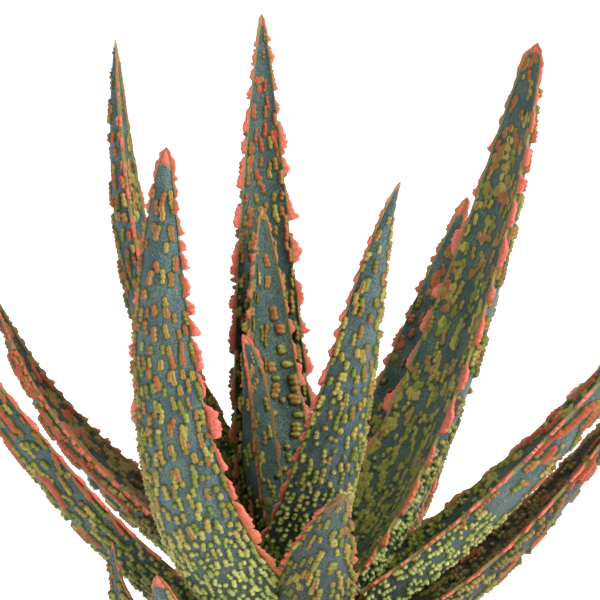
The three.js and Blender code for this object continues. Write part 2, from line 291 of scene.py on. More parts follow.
BULGE_RISE, BULGE_END = 6.0, 75.0  # mm from the tip between which a blunt leaf's margins bulge
TEETH_GROWN = 70.0  # mm from a tip by which the teeth reach their full size
FIN_ROOT = 1.35  # thickness of a tooth where it joins the leaf, mm
FIN_EDGE = 0.85  # and at its edge
FIN_FOOT = 0.3  # thickness that a tooth's root starts from at the tip of a leaf, mm
FIN_GROWN = 14.0  # mm from a tip by which a tooth's root is at its full thickness
POINT_STEP = 0.95  # usual distance from a small point on a tooth's edge to the next notch, mm
LEAST_HEIGHT = 0.12  # mm that a margin stands proud between its teeth
TOOTH_GAP = 0.3  # mm that a tooth keeps from the leaf in front of it
BASE_SHARE = 0.3  # of a leaf's length, below which the spots are small, round and close
MIDDLE_SHARE = 0.55  # of a leaf's length, below which the spots are short chains of beads


def tooth_heights(rng, from_tip, look):
    """Height of the margin's teeth at each distance from the tip, mm."""
    heights = np.zeros_like(from_tip)
    place = rng.uniform(5, 8)
    end = from_tip.max()
    while place < end:
        grown = smoothstep(0, TEETH_GROWN, place)
        length = look["pitch"] * (0.5 + 0.5 * grown) * rng.uniform(0.5, 1.4)
        height = look["tooth"] * (0.36 + 0.64 * grown) * rng.uniform(0.6, 1.12)
        # a lobe climbs from its tip end in uneven steps and falls away steeply at its foot end
        corners = np.sort(rng.uniform(0.12, 0.85, 3))
        outline_t = [0, *corners, rng.uniform(0.88, 0.95), 1]
        climb = np.sort(rng.uniform(0.4, 1.0, 3))
        outline = [0, climb[0], climb[1], climb[2], climb[2] * rng.uniform(0.55, 0.9), 0]
        t = (from_tip - place) / length + 0.06 * wander(rng, from_tip, 3, 1)
        shape = np.interp(t, outline_t, outline, left=0, right=0)
        shape = 0.75 * shape + 0.25 * np.sin(0.5 * np.pi * shape)
        tooth = np.interp(from_tip, *jagged(rng, place, length, look["saw"] * (0.8 + 0.2 * grown)))
        heights = np.maximum(heights, height * shape + tooth * np.minimum(shape * 3, 1))
        place += length * (1 + look["gap"] * rng.uniform(0.3, 1.7))
    rim = look["tip"] * (1 - smoothstep(look["run"] * 0.4, look["run"] * 1.6, from_tip))
    rim = rim * (1 + 0.35 * wander(rng, from_tip, 1.5, 1)) * smoothstep(-1.2, 1.6, from_tip)
    return np.maximum(np.maximum(heights, rim), LEAST_HEIGHT)


def jagged(rng, place, length, size):
    """Places and heights of the small points along one tooth's edge."""
    count = max(int(length / POINT_STEP), 3)
    places = place + np.sort(rng.uniform(0, length, count))
    points = size * rng.uniform(-0.9, 0.1, count)
    points[::2] = size * rng.uniform(0.3, 1.5, len(points[::2]))
    return places, points


def spot_beads(rng, look, length, widths, rows, channel_side):
    """Beads that make up the raised spots of one side of a leaf.

    Each is (place along, place across as a share, half length, half width, height, redness, tone).
    """
    beads = []
    bands = wander(rng, rows, 12, 2)
    place = 1.5
    while place < length - 2:
        share = place / length
        row = min(int(share * len(rows)), len(rows) - 1)
        width = widths[row]
        base = share < BASE_SHARE
        count = max(int(width / (2.3 if base else 2.9)), 1)
        for i in range(count):
            loose = 0.7 if base else 1.0
            middle = (i + 0.5 + loose * rng.uniform(-0.4, 0.4)) / count
            here = place + loose * rng.uniform(-1.7, 1.7)
            to_edge = abs(middle - 0.5)
            band = np.interp(here + 4 * math.sin(6 * middle + look["phase"]), rows, bands)
            chance = (0.74 if base else 0.86) + 0.35 * band
            if channel_side and base:
                chance -= 0.3
            chance += 0.2 * (1 - smoothstep(0.12, 0.4, share))
            chance -= 0.12 * smoothstep(0.6, 0.85, share)
            chance += 0.3 * smoothstep(0.3, 0.45, to_edge)
            if rng.uniform() > chance * look["spots"]:
                continue
            red = look["coral"] * smoothstep(0.15, 0.85, share + rng.uniform(-0.25, 0.2))
            red += 0.25 * look["coral"] * smoothstep(0.36, 0.48, to_edge)
            red *= rng.uniform(0.25, 1.5)
            tone = rng.uniform()
            if channel_side and rng.uniform() < look["blotch"]:
                long, wide = rng.uniform(1.4, 3.6), rng.uniform(0.7, 1.5)
                number = rng.integers(4, 12)
                for _ in range(number):
                    along, side = rng.normal(0, long * 0.6), rng.normal(0, wide * 0.6)
                    size = rng.uniform(0.8, 1.25)
                    beads.append((here + along, middle + side / width, size * 1.35, size,
                                  rng.uniform(0.25, 0.5), red - rng.uniform(-0.1, 0.7), tone))
                continue
            if base:
                number, gap, size = rng.integers(1, 3), 1.45, rng.uniform(0.82, 1.12)
            elif share < MIDDLE_SHARE:
                number, gap, size = rng.integers(1, 4), 1.6, rng.uniform(0.95, 1.22)
            else:
                number, gap, size = rng.integers(2, 4), 1.45, rng.uniform(0.9, 1.18)
            if share > 0.35 and rng.uniform() < look["streak"]:
                number, gap = rng.integers(4, 8), 1.3
                size, red = rng.uniform(1.15, 1.4), rng.uniform(0.9, 1.3)
            size *= min(1.0, 0.45 + width / 26)
            lean = rng.uniform(-0.2, 0.2)
            tall = rng.uniform(1.0, 1.6) * (0.75 if channel_side else 1.0) * size
            tall *= 1 + 0.5 * smoothstep(0.32, 0.46, to_edge)
            for k in range(number):
                step = (k - (number - 1) / 2) * gap
                across = middle + (lean * step + rng.uniform(-0.16, 0.16)) / width
                beads.append((here + step, across, size * rng.uniform(1.0, 1.3),
                              size * rng.uniform(0.88, 1.1), tall, red, tone))
        place += 2.9 if base else (4.4 if share < 0.62 else 5.4)
    # small pale dots on the plain skin between the spots
    for _ in range(int(length * widths.mean() / 120)):
        beads.append((rng.uniform(3, length - 8), rng.uniform(0.08, 0.92), 0.45, 0.4, 0.18, -1, 0.0))
    return beads


def stamp_beads(beads, rows, shares, widths):
    """Lift in mm, spot field, heart field and tone over one side of a leaf."""
    lift = np.zeros((len(rows), len(shares)))
    spot = np.full_like(lift, -1.0)
    heart = np.full_like(lift, -1.0)
    tones = np.full_like(lift, 0.5)
    for along, middle, long, wide, tall, red, tone in beads:
        r0, r1 = np.searchsorted(rows, (along - 1.5 * long, along + 1.5 * long))
        if r1 <= r0 or along > rows[-1]:
            continue
        width = widths[(r0 + r1 - 1) // 2]
        c0, c1 = np.searchsorted(shares, (middle - 1.5 * wide / width, middle + 1.5 * wide / width))
        if c1 <= c0:
            continue
        du = ((rows[r0:r1] - along) / long)[:, None]
        dw = ((shares[c0:c1] - middle) * width / wide)[None, :]
        far = du * du + dw * dw
        patch = np.s_[r0:r1, c0:c1]
        tones[patch] = np.where(1 - far > spot[patch], tone, tones[patch])
        lift[patch] = np.maximum(lift[patch], tall * np.clip(1 - far, 0, 1) ** 0.85)
        spot[patch] = np.maximum(spot[patch], 1 - far)
        heart[patch] = np.maximum(heart[patch], red - du * du * 0.6 - dw * dw * 2.0)
    return lift, spot, heart, tones


def leaf_side(controls, count_step):
    """One side of a leaf as rows of evenly spaced points, from its controls across each row."""
    knots = np.arange(controls.shape[1], dtype=float)
    across = np.swapaxes(controls, 0, 1)
    fine = np.linspace(0, knots[-1], 161)
    sizes = np.linalg.norm(controls[:, 0] - controls[:, -1], axis=1)
    widest = np.argmax(sizes)
    curve = spline(knots, across[:, widest], fine)
    run = np.concatenate([[0], np.cumsum(np.linalg.norm(np.diff(curve, axis=0), axis=1))])
    count = max(int(run[-1] / count_step), 16)
    wanted = np.interp(np.linspace(0, run[-1], count + 1), run, fine)
    points = np.swapaxes(spline(knots, across, wanted), 0, 1)
    widths = np.linalg.norm(np.diff(points, axis=1), axis=2).sum(1)
    return points, np.linspace(0, 1, count + 1), widths


def outside(tree, point):
    """Whether a point lies outside a closed solid, told by how many walls stand above it."""
    upward = Vector((0.01, 0.02, 1)).normalized()  # a little askew, so that it meets no edge end on
    past_wall = upward * 0.001
    count, start = 0, Vector(point)
    while True:
        hit = tree.ray_cast(start, upward)[0]
        if hit is None:
            return count % 2 == 0
        count += 1
        start = hit + past_wall


def clamp_to(points, tree, clipped):
    """Points drawn back to the leaf's CAD solid where a neighbour clips that, and which ones moved."""
    moved = points.copy()
    shifted = np.zeros(points.shape[:-1])
    for r, c in zip(*np.nonzero(clipped)):
        near, _, _, distance = tree.find_nearest(points[r, c])
        if distance > CLAMP and outside(tree, points[r, c]):
            moved[r, c] = np.array(near) + (points[r, c] - np.array(near)) * CLAMP / distance
            shifted[r, c] = 1
    return moved, shifted


def near_clip(clipped, knots, rows, columns, count):
    """Where the rows and columns of one side lie next to clipped corners of the CAD solid."""
    wide = np.maximum(clipped, np.maximum(np.roll(clipped, 1, 1), np.roll(clipped, -1, 1)))
    wide[1:] = np.maximum(wide[1:], clipped[:-1])
    wide[:-1] = np.maximum(wide[:-1], clipped[1:])
    side = wide[:, columns]
    along = np.stack([np.interp(rows, knots, side[:, j]) for j in range(side.shape[1])], 1)
    places = np.linspace(0, side.shape[1] - 1, count)
    cell = np.minimum(places.astype(int), side.shape[1] - 2)
    part = places - cell
    least = 0.02  # share of a clipped corner that still counts
    return along[:, cell] * (1 - part) + along[:, cell + 1] * part > least


def with_room(points, normals, lift, others):
    """Lift cut down where it would reach the next leaf."""
    cut = lift.copy()
    for r, c in zip(*np.nonzero(lift > CLEARANCE)):
        half = 0.5 * lift[r, c]
        reach = points[r, c] + normals[r, c] * half
        distance = others.find_nearest(reach, float(lift[r, c]) + 1)[3]
        if distance is not None:
            cut[r, c] = min(lift[r, c], max(0.0, half + distance - CLEARANCE))
            if distance < half + CLEARANCE:
                away = others.find_nearest(points[r, c], FAR_ENOUGH)[3]
                room = away if away is not None else FAR_ENOUGH
                cut[r, c] = max(0.0, min(cut[r, c], room - CLEARANCE))
    return cut


def side_normals(points, outwards):
    """Unit normals of a side, on the side that outwards points to."""
    along = np.gradient(points, axis=0)
    across = np.gradient(points, axis=1)
    normals = unit(np.cross(along, across))
    sign = np.sign((normals * outwards).sum(-1, keepdims=True).mean())
    return normals * (sign if sign else 1)


def fin(margin, outward, up, heights, root):
    """Columns of a margin's teeth: over the top from root to edge, and back along the underside."""
    columns, reach = [], []
    for side, steps in ((0.5, FIN_STEPS), (-0.5, FIN_STEPS[::-1])):
        for f in steps:
            thick = root * (1 - f) + FIN_EDGE * f * np.minimum(1, root / FIN_ROOT)
            columns.append(margin + outward * (heights * f)[:, None] + up * (side * thick)[:, None])
            reach.append(heights * f)
    return np.stack(columns, 1), np.stack(reach, 1)


def margin_fin(rng, look, margin, other, inner, clipped, course):
    """The teeth of one margin, cut short where they would reach a leaf, and how far each column reaches."""
    rows, from_tip, middle, up, tree = course
    heights = tooth_heights(rng, from_tip, look)
    outward = unit(unit(margin - other) * 0.62 + unit(margin - inner) * 0.38)
    fin_up = unit(np.cross(unit(np.gradient(middle, axis=0)), outward))
    fin_up *= np.sign((fin_up * up).sum(-1, keepdims=True))
    placed = margin.copy()
    for r in np.nonzero(clipped)[0]:
        spot, _, _, distance = tree.find_nearest(margin[r])
        if distance > MARGIN_SLACK and outside(tree, margin[r]):
            placed[r] = np.array(spot)
            heights[r] *= float(1 - smoothstep(MARGIN_SLACK, 4 * MARGIN_SLACK, distance))
    for r in range(len(rows)):
        start = Vector(placed[r] + outward[r] * 0.25)
        hit = everything.ray_cast(start, Vector(outward[r]), float(heights[r]) + 0.5)
        if hit[0] is not None:
            heights[r] = min(heights[r], max(LEAST_HEIGHT, hit[3] - TOOTH_GAP))
    root = FIN_FOOT + (FIN_ROOT - FIN_FOOT) * smoothstep(0, FIN_GROWN, from_tip)
    columns, reach = fin(placed, outward, fin_up, heights, root)
    sway = wander(rng, rows, 6, 2) * 0.35
    columns += fin_up[:, None] * (sway[:, None] * smoothstep(0, 3, reach))[..., None]
    return columns, reach


def leaf_rows(look, rings, tip):
    """Places of the rings and of the rows along a leaf, its controls across each row, and the column step."""
    stack = np.concatenate([rings, np.repeat(tip[None, None], RING, 1)])
    gaps = np.linalg.norm(np.diff(stack.mean(1), axis=0), axis=1)
    knots = np.concatenate([[0], np.cumsum(gaps)])
    length = knots[-1]
    top_width = np.linalg.norm(rings[:, 0] - rings[:, HALF_RING], axis=1).max()
    step, row_step = COLUMN_STEP, ROW_STEP
    quads = length / row_step * GIRTH * top_width / step
    if quads > MOST_QUADS:
        step *= math.sqrt(quads / MOST_QUADS)
        row_step *= math.sqrt(quads / MOST_QUADS)
    rows = np.linspace(0, length - 0.25, int(length / row_step))
    controls = spline(knots, stack, rows)
    across = controls[:, 0] - controls[:, HALF_RING]
    half_width = 0.5 * np.linalg.norm(across, axis=1)[:, None]
    aside = ((controls - controls.mean(1, keepdims=True)) * unit(across)[:, None]).sum(-1)
    bulge = look["blunt"] * smoothstep(-1, BULGE_RISE, length - rows)
    bulge = bulge * (1 - smoothstep(BULGE_RISE, BULGE_END, length - rows))
    controls = controls + unit(across)[:, None] * (aside / half_width * bulge[:, None])[..., None]
    return knots, rows, controls, step


def raised_side(rng, look, course, side, shifted, channel, others):
    """One side of a leaf with its spots raised, and its spot, heart, edge, tone and offset fields."""
    rows, from_tip, _, up, _ = course
    points, shares, widths = side
    length = from_tip[0]
    beads = spot_beads(rng, look, length, widths, rows, channel)
    lift, spot, heart, tones = stamp_beads(beads, rows, shares, np.maximum(widths, 0.5))
    fade = smoothstep(0.5, 5, from_tip)[:, None]
    fade = fade * smoothstep(0, 0.02, np.minimum(shares, 1 - shares))[None, :]
    normals = side_normals(points, (up if channel else -up)[:, None])
    lift = with_room(points, normals, lift * fade * (1 - shifted), others)
    edge = np.minimum(shares, 1 - shares)[None, :] * widths[:, None]
    offset = (shares - 0.5)[None, :] * widths[:, None]
    fields = (points + normals * lift[..., None], spot, heart, edge, tones, offset)
    return [field[:, 1:-1] for field in fields]


def closed_grid(grid, apex):
    """Vertices and faces of rows and columns that run round a leaf, closed at its foot and its apex."""
    rows, columns = grid.shape[:2]
    index = np.arange(rows * columns).reshape(rows, columns)
    right = np.roll(index, -1, 1)
    quads = np.stack([index[:-1], right[:-1], right[1:], index[1:]], -1).reshape(-1, 4)
    top, foot = rows * columns, rows * columns + 1
    ends = [[int(a), int(b), top] for a, b in zip(index[-1], right[-1])]
    ends += [[int(b), int(a), foot] for a, b in zip(index[0], right[0])]
    return np.concatenate([grid.reshape(-1, 3), [apex], [grid[0].mean(0)]]), quads.tolist() + ends


def build_leaf(node, number, solid, others):
    """The whole leaf, with its raised spots and toothed margins, in place of its CAD solid."""
    look = {**USUAL, **LOOKS.get(node, {})}
    rng = np.random.default_rng(1000 + number)
    look["phase"] = rng.uniform(0, 6)
    rings, tip, tree, clipped = solid
    knots, rows, controls, step = leaf_rows(look, rings, tip)
    length = knots[-1]
    from_tip = length - rows
    over, over_shares, over_widths = leaf_side(controls[:, : HALF_RING + 1], step)
    under = np.concatenate([controls[:, HALF_RING:], controls[:, :1]], 1)
    under, under_shares, under_widths = leaf_side(under, step)
    first, second = over[:, 0].copy(), over[:, -1].copy()  # the two margins
    middle = 0.5 * (over[:, over.shape[1] // 2] + under[:, under.shape[1] // 2])
    up = unit(over[:, over.shape[1] // 2] - under[:, under.shape[1] // 2])
    course = rows, from_tip, middle, up, tree
    clipped = np.concatenate([clipped, clipped[-1:] * 0])
    over_clip = near_clip(clipped, knots, rows, list(range(HALF_RING + 1)), over.shape[1])
    under_clip = near_clip(clipped, knots, rows, [*range(HALF_RING, RING), 0], under.shape[1])
    over, over_shifted = clamp_to(over, tree, over_clip)
    under, under_shifted = clamp_to(under, tree, under_clip)

    side = over, over_shares, over_widths
    channel_side = raised_side(rng, look, course, side, over_shifted, True, others)
    side = under, under_shares, under_widths
    back = raised_side(rng, look, course, side, under_shifted, False, others)
    fins, reaches = zip(
        margin_fin(rng, look, second, first, over[:, -3], over_clip[:, -1], course),
        margin_fin(rng, look, first, second, over[:, 2], over_clip[:, 0], course),
    )
    # the first fin runs down the second margin, so that the columns follow each other round
    parts = [channel_side[0], fins[0], back[0], fins[1][:, ::-1]]
    grid = np.concatenate(parts, 1)
    sizes = [part.shape[1] for part in parts]

    def laid(*values):
        """A field given for the channel side, first fin, back and second fin, in the grid's order."""
        blocks = [np.broadcast_to(v, (len(rows), size)) for v, size in zip(values, sizes)]
        return np.concatenate(blocks, 1)

    _, spot, heart, edge, tone, offset = channel_side
    _, back_spot, back_heart, back_edge, back_tone, back_offset = back
    back_offset = back_offset + OTHER_SIDE
    point = 4 * (1 - smoothstep(0.4, 1.0, from_tip / look["cap"]))[:, None]
    face = laid(1.0, 0.5, 0.0, 0.5)
    share = np.broadcast_to((rows / length)[:, None], grid.shape[:2])
    browned = face * look["brown"] + (1 - face) * look["dusk"]
    browned = browned * (0.75 + 0.25 * wander(rng, rows, 40, 2)[:, None])
    dryness = laid(0.0, 1.0, 0.0, 1.0) * look["worn"] * (1 - smoothstep(0.68, 0.82, share))
    if look["dry"]:
        withered = wander(rng, np.arange(grid.shape[1], dtype=float), 14, 2)
        withered = look["dry"] * (0.8 + 0.5 * withered)
        dryness = np.maximum(dryness, smoothstep(-3, 3, withered[None, :] - from_tip[:, None]))

    heading = unit(tip - rings[-1].mean(0))
    vertices, faces = closed_grid(grid, tip + heading * (0.5 + 0.1 * look["tip"]))
    piece = new_piece(node + "_skin", vertices, faces, LEAF, "leaf", [node])
    # each field's name, its values, and its value at the apex
    for label, values, last in (
        ("spot", laid(spot, -1.0, back_spot, -1.0), -1),
        ("heart", laid(heart, -1.0, back_heart, -1.0), -1),
        ("rim", laid(point - edge, reaches[0], point - back_edge, reaches[1][:, ::-1]), 4),
        ("face", face, 0.5),
        ("share", share, 1),
        ("brown", browned, 0.3),
        ("dry", dryness, 1.0 if look["dry"] else 0),
        ("tone", laid(tone, 0.5, back_tone, 0.5), 0.5),
        ("along", np.broadcast_to(rows[:, None] + LEAF_APART * number, grid.shape[:2]), 0),
        ("offset", laid(offset, offset[:, -1:], back_offset, back_offset[:, -1:]), 0),
    ):
        add_field(piece, label, np.concatenate([values.ravel(), [last, 0]]))
    lay_out(piece, *grid.shape[:2])


def lay_out(piece, count_rows, count_columns):
    """A bake layout that unrolls the leaf over the whole square."""
    layer = piece.data.uv_layers.new(name="OFBake")
    r, c = np.meshgrid(np.arange(count_rows - 1), np.arange(count_columns), indexing="ij")
    left, right = c / count_columns, (c + 1) / count_columns
    low, high = r / count_rows, (r + 1) / count_rows
    corners = np.stack([left, low, right, low, right, high, left, high], -1).reshape(-1, 2)
    left, right, base = left[0], right[0], low[0]
    middle = 0.5 * (left + right)
    tip = np.stack([left, high[-1], right, high[-1], middle, base + 1.0], -1)
    foot = np.stack([right, base, left, base, middle, base + 0.001], -1)
    layout = np.concatenate([corners, tip.reshape(-1, 2), foot.reshape(-1, 2)]) * 0.996 + 0.002
    layer.data.foreach_set("uv", layout.astype(np.float32).ravel())


# ---- materials


def srgb(red, green, blue):
    """A colour on the 0 to 255 scale of a screen, as Blender's linear colour."""
    return tuple(
        (v / 255 / 12.92 if v <= 10.31475 else ((v / 255 + 0.055) / 1.055) ** 2.4)
        for v in (red, green, blue)
    ) + (1.0,)


class Paint:
    """A material and short ways to add nodes to it."""

    def __init__(self, name):
        self.material = bpy.data.materials.new(name)
        self.material.use_nodes = True
        self.tree = self.material.node_tree
        self.tree.nodes.clear()
        self.shader = self.add("ShaderNodeBsdfPrincipled")
        output = self.add("ShaderNodeOutputMaterial")
        self.tree.links.new(self.shader.outputs[0], output.inputs["Surface"])

    def add(self, kind, settings=None, **inputs):
        node = self.tree.nodes.new(kind)
        for key, value in (settings or {}).items():
            setattr(node, key, value)
        for key, value in inputs.items():
            self.set(node, key.replace("_", " "), value)
        return node

    def set(self, node, socket, value):
        """Link a socket, or give it a plain value."""
        target = node.inputs[socket]
        if isinstance(value, bpy.types.NodeSocket):
            self.tree.links.new(value, target)
        else:
            target.default_value = value

    def finish(self, **sockets):
        """Set the shader's own sockets, and give the material."""
        for name, value in sockets.items():
            self.set(self.shader, name.replace("_", " "), value)
        return self.material

    def calls(self):
        """The calls that a material repeats most, to use by short names."""
        return self.mix, self.ramp, self.times, self.sum, self.field, self.noise

    def field(self, name):
        node = self.add("ShaderNodeAttribute", {"attribute_type": "GEOMETRY", "attribute_name": name})
        return node.outputs["Fac"]

    def place(self):
        return self.add("ShaderNodeTexCoord").outputs["Object"]

    def noise(self, scale, detail=2.0, roughness=0.55, vector=None):
        node = self.add("ShaderNodeTexNoise", Scale=scale, Detail=detail, Roughness=roughness)
        self.set(node, "Vector", vector if vector is not None else self.place())
        return node.outputs["Fac"]

    def sum(self, a, b, times=1.0):
        """a + (b - 0.5) * times"""
        scaled = self.add("ShaderNodeMath", {"operation": "MULTIPLY_ADD"})
        self.set(scaled, 0, b)
        scaled.inputs[1].default_value = times
        scaled.inputs[2].default_value = -0.5 * times
        total = self.add("ShaderNodeMath", {"operation": "ADD"})
        self.set(total, 0, a)
        self.set(total, 1, scaled.outputs[0])
        return total.outputs[0]

    def times(self, a, b):
        node = self.add("ShaderNodeMath", {"operation": "MULTIPLY", "use_clamp": True})
        self.set(node, 0, a)
        self.set(node, 1, b)
        return node.outputs[0]

    def ramp(self, value, low, high, start=0.0, end=1.0):
        node = self.add("ShaderNodeMapRange", {"interpolation_type": "SMOOTHSTEP"})
        sockets = ("Value", "From Min", "From Max", "To Min", "To Max")
        for socket, v in zip(sockets, (value, low, high, start, end)):
            self.set(node, socket, v)
        return node.outputs["Result"]

    def mix(self, factor, a, b, blend="MIX"):
        node = self.add("ShaderNodeMix", {"data_type": "RGBA", "blend_type": blend})
        self.set(node, 0, factor)
        self.set(node, 6, a)
        self.set(node, 7, b)
        return node.outputs[2]

    def bump(self, height, distance, strength=1.0, normal=None):
        node = self.add("ShaderNodeBump", Height=height, Distance=distance, Strength=strength)
        if normal is not None:
            self.set(node, "Normal", normal)
        return node.outputs["Normal"]


def leaf_material():
    """Skin, raised spots with coral hearts, and coral margins, from the fields that build_leaf lays down."""
    paint = Paint("aloe_skin")
    mix, ramp, times, added, field, grit = paint.calls()
    grain = ramp(grit(1900, 2, 0.75), 0.3, 0.7)
    mottle = grit(900, 3)
    cloud = grit(90, 3)
    share, face, tone = field("share"), field("face"), field("tone")
    # streaks that run along the leaf, laid out by the distances along and across it
    unrolled = paint.add("ShaderNodeCombineXYZ", X=field("along"), Y=field("offset"))
    stretched = paint.add("ShaderNodeVectorMath", {"operation": "MULTIPLY"})
    paint.set(stretched, 0, unrolled.outputs[0])
    stretched.inputs[1].default_value = (0.12, 1.0, 1.0)
    streak = grit(0.9, 3, 0.6, stretched.outputs[0])

    back = mix(ramp(cloud, 0.35, 0.65), srgb(68, 94, 98), srgb(97, 118, 112))
    channel = mix(ramp(cloud, 0.35, 0.65), srgb(64, 92, 86), srgb(90, 114, 98))
    skin = mix(times(face, ramp(share, 0.9, 0.45, 0.35, 1.0)), back, channel)
    skin = mix(ramp(streak, 0.45, 0.75, 0.0, 0.45), skin, srgb(66, 78, 56))
    low = mix(ramp(mottle, 0.3, 0.7), srgb(50, 70, 54), srgb(80, 100, 68))
    skin = mix(ramp(share, 0.4, 0.05, 0.0, 0.75), skin, low)
    umber = mix(ramp(mottle, 0.35, 0.7), srgb(44, 34, 24), srgb(76, 56, 38))
    browned = ramp(added(field("brown"), cloud, 0.5), 0.12, 0.95, 0.0, 0.9)
    skin = mix(browned, skin, umber)
    skin = mix(0.9, skin, mix(grain, srgb(104, 114, 124), srgb(255, 255, 255)), "MULTIPLY")

    spot = added(field("spot"), mottle, 0.7)
    pale = mix(tone, srgb(152, 170, 84), srgb(216, 220, 138))
    green, olive = srgb(120, 138, 50), srgb(184, 174, 88)
    body = mix(ramp(tone, 0.15, 0.6), green, olive)
    body = mix(ramp(tone, 0.62, 0.95, 0.0, 0.7), body, srgb(156, 112, 62))
    body = mix(times(ramp(share, 0.4, 0.12), ramp(face, 0.9, 0.1)), body, pale)
    deep = mix(mottle, srgb(96, 118, 44), srgb(168, 166, 66))
    body = mix(times(ramp(share, 0.5, 0.1), ramp(face, 0.1, 0.9)), body, deep)
    body = mix(times(ramp(field("brown"), 0.35, 1.0), 0.7), body, srgb(100, 66, 42))
    # painted shade: each raised spot is darkened towards its edge, so that its top reads as lit
    body = mix(ramp(spot, 0.8, 0.1), body, srgb(158, 164, 118), "MULTIPLY")
    heart = added(field("heart"), mottle, 0.7)
    ember = mix(ramp(heart, 0.3, 0.75), srgb(160, 98, 46), srgb(188, 82, 56))
    body = mix(ramp(heart, -0.12, 0.3), body, ember)
    body = mix(0.7, body, mix(mottle, srgb(128, 128, 104), srgb(255, 255, 255)), "MULTIPLY")
    # painted shade: the skin turns dark olive in a ring round each raised spot, standing in for the shadow
    # that the bead casts
    edge = mix(ramp(spot, -0.45, 0.05), skin, srgb(48, 60, 34))
    colour = mix(ramp(spot, -0.1, 0.35), edge, body)

    rim = added(field("rim"), mottle, 0.4)
    tan = mix(mottle, srgb(120, 104, 44), srgb(176, 146, 70))
    colour = mix(ramp(rim, -0.55, -0.15, 0.0, 0.62), colour, tan)
    # the teeth turn lighter and pinker towards their edges: partly their own colour, partly painted light
    # standing in for light that shines through the thin edges
    coral = mix(ramp(rim, 0.4, 2.8), srgb(198, 78, 60), srgb(228, 116, 96))
    coral = mix(ramp(mottle, 0.38, 0.72, 0.0, 0.85), coral, srgb(168, 66, 48))
    coral = mix(ramp(grain, 0.3, 1.0, 0.0, 0.35), coral, srgb(236, 146, 120))
    low_coral = mix(mottle, srgb(150, 104, 46), srgb(196, 110, 70))
    coral = mix(ramp(share, 0.45, 0.12, 0.0, 0.75), coral, low_coral)
    coral = mix(ramp(cloud, 0.5, 0.7, 0.0, 0.35), coral, srgb(150, 84, 48))
    colour = mix(ramp(rim, 0.32, 0.8), colour, coral)
    dry = mix(mottle, srgb(84, 62, 36), srgb(140, 108, 62))
    dried = field("dry")
    uneven = added(dried, times(mottle, ramp(dried, 0.0, 0.3)), 1.2)
    colour = mix(ramp(uneven, -0.4, 0.9, 0.0, 0.9), colour, dry)

    fine = paint.bump(grain, 0.00015, 0.6)
    return paint.finish(
        Base_Color=colour, Roughness=ramp(mottle, 0.2, 0.8, 0.4, 0.6), Specular_IOR_Level=0.34,
        Sheen_Weight=0.04, Sheen_Roughness=0.45, Normal=paint.bump(mottle, 0.00045, 0.6, fine),
    )


def clay_material():
    """Fired clay with a pale bloom, damper at its foot."""
    paint = Paint("unglazed_clay")
    mix, ramp, times, added, _, grit = paint.calls()
    grain, mottle, cloud = grit(1500, 2), grit(170, 4), grit(22, 4)
    base = mix(ramp(cloud, 0.3, 0.7), srgb(176, 96, 66), srgb(196, 116, 82))
    base = mix(ramp(mottle, 0.5, 0.8, 0.0, 0.35), base, srgb(158, 82, 56))
    height = paint.add("ShaderNodeSeparateXYZ", Vector=paint.place()).outputs["Z"]
    damp = ramp(added(height, cloud, 0.03), 0.034, 0.006)
    base = mix(times(damp, 0.35), base, srgb(132, 70, 50))
    bloom = times(ramp(added(cloud, mottle, 0.5), 0.52, 0.74), 0.4)
    base = mix(bloom, base, srgb(208, 158, 128))
    base = mix(0.4, base, mix(grain, srgb(170, 170, 170), srgb(255, 255, 255)), "MULTIPLY")
    fine = paint.bump(grain, 0.00025, 0.5)
    return paint.finish(
        Base_Color=base, Roughness=ramp(mottle, 0.2, 0.8, 0.78, 0.95), Specular_IOR_Level=0.3,
        Normal=paint.bump(mottle, 0.0009, 0.35, fine),
    )


def earthy_material(name, dark, light, speck, scale):
    """Rough plant matter or earth: two tones, with a third in specks."""
    paint = Paint(name)
    mix, ramp, _, _, _, grit = paint.calls()
    grain, mottle = grit(scale * 3, 3), grit(scale, 4)
    base = mix(ramp(mottle, 0.3, 0.7), dark, light)
    base = mix(ramp(grain, 0.62, 0.72, 0.0, 0.8), base, speck)
    fine = paint.bump(grain, 0.0006, 0.6)
    return paint.finish(
        Base_Color=base, Roughness=ramp(mottle, 0.2, 0.8, 0.8, 1.0), Specular_IOR_Level=0.25,
        Normal=paint.bump(mottle, 0.0012, 0.5, fine),
    )


LEAF = leaf_material()
CLAY = clay_material()
MIX = earthy_material("potting_mix_crumbs", srgb(38, 27, 20), srgb(66, 48, 35), srgb(104, 84, 62), 420)
BARK = earthy_material("dry_stem", srgb(118, 100, 66), srgb(158, 142, 98), srgb(92, 72, 48), 500)
PERLITE = earthy_material("perlite", srgb(214, 210, 200), srgb(240, 238, 232), srgb(190, 182, 166), 900)
CHIP = earthy_material("bark_chip", srgb(72, 48, 32), srgb(112, 78, 52), srgb(52, 36, 26), 380)

# ---- the plant

node_names = [part["node"] for part in frame["record"]["subparts"]]
leaf_names = [name for name in node_names if name.endswith("_leaf")]
meshes = {name: cad_solid(name) for name in leaf_names}


def joined_tree(names):
    """One search tree over several CAD solids."""
    corners, faces = [], []
    for name in names:
        faces += (meshes[name][1] + len(corners)).tolist()
        corners += meshes[name][0].tolist()
    return BVHTree.FromPolygons(corners, faces)


everything = joined_tree(leaf_names)
for number, name in enumerate(leaf_names):
    others = joined_tree([other for other in leaf_names if other != name])
    build_leaf(name, number, leaf_rings(*meshes[name]), others)

for name, material in (("potting_mix", MIX), ("stem_and_roots", BARK)):
    data = frame["nodes"][name].data
    data.materials.clear()
    data.materials.append(material)

# ---- the pot

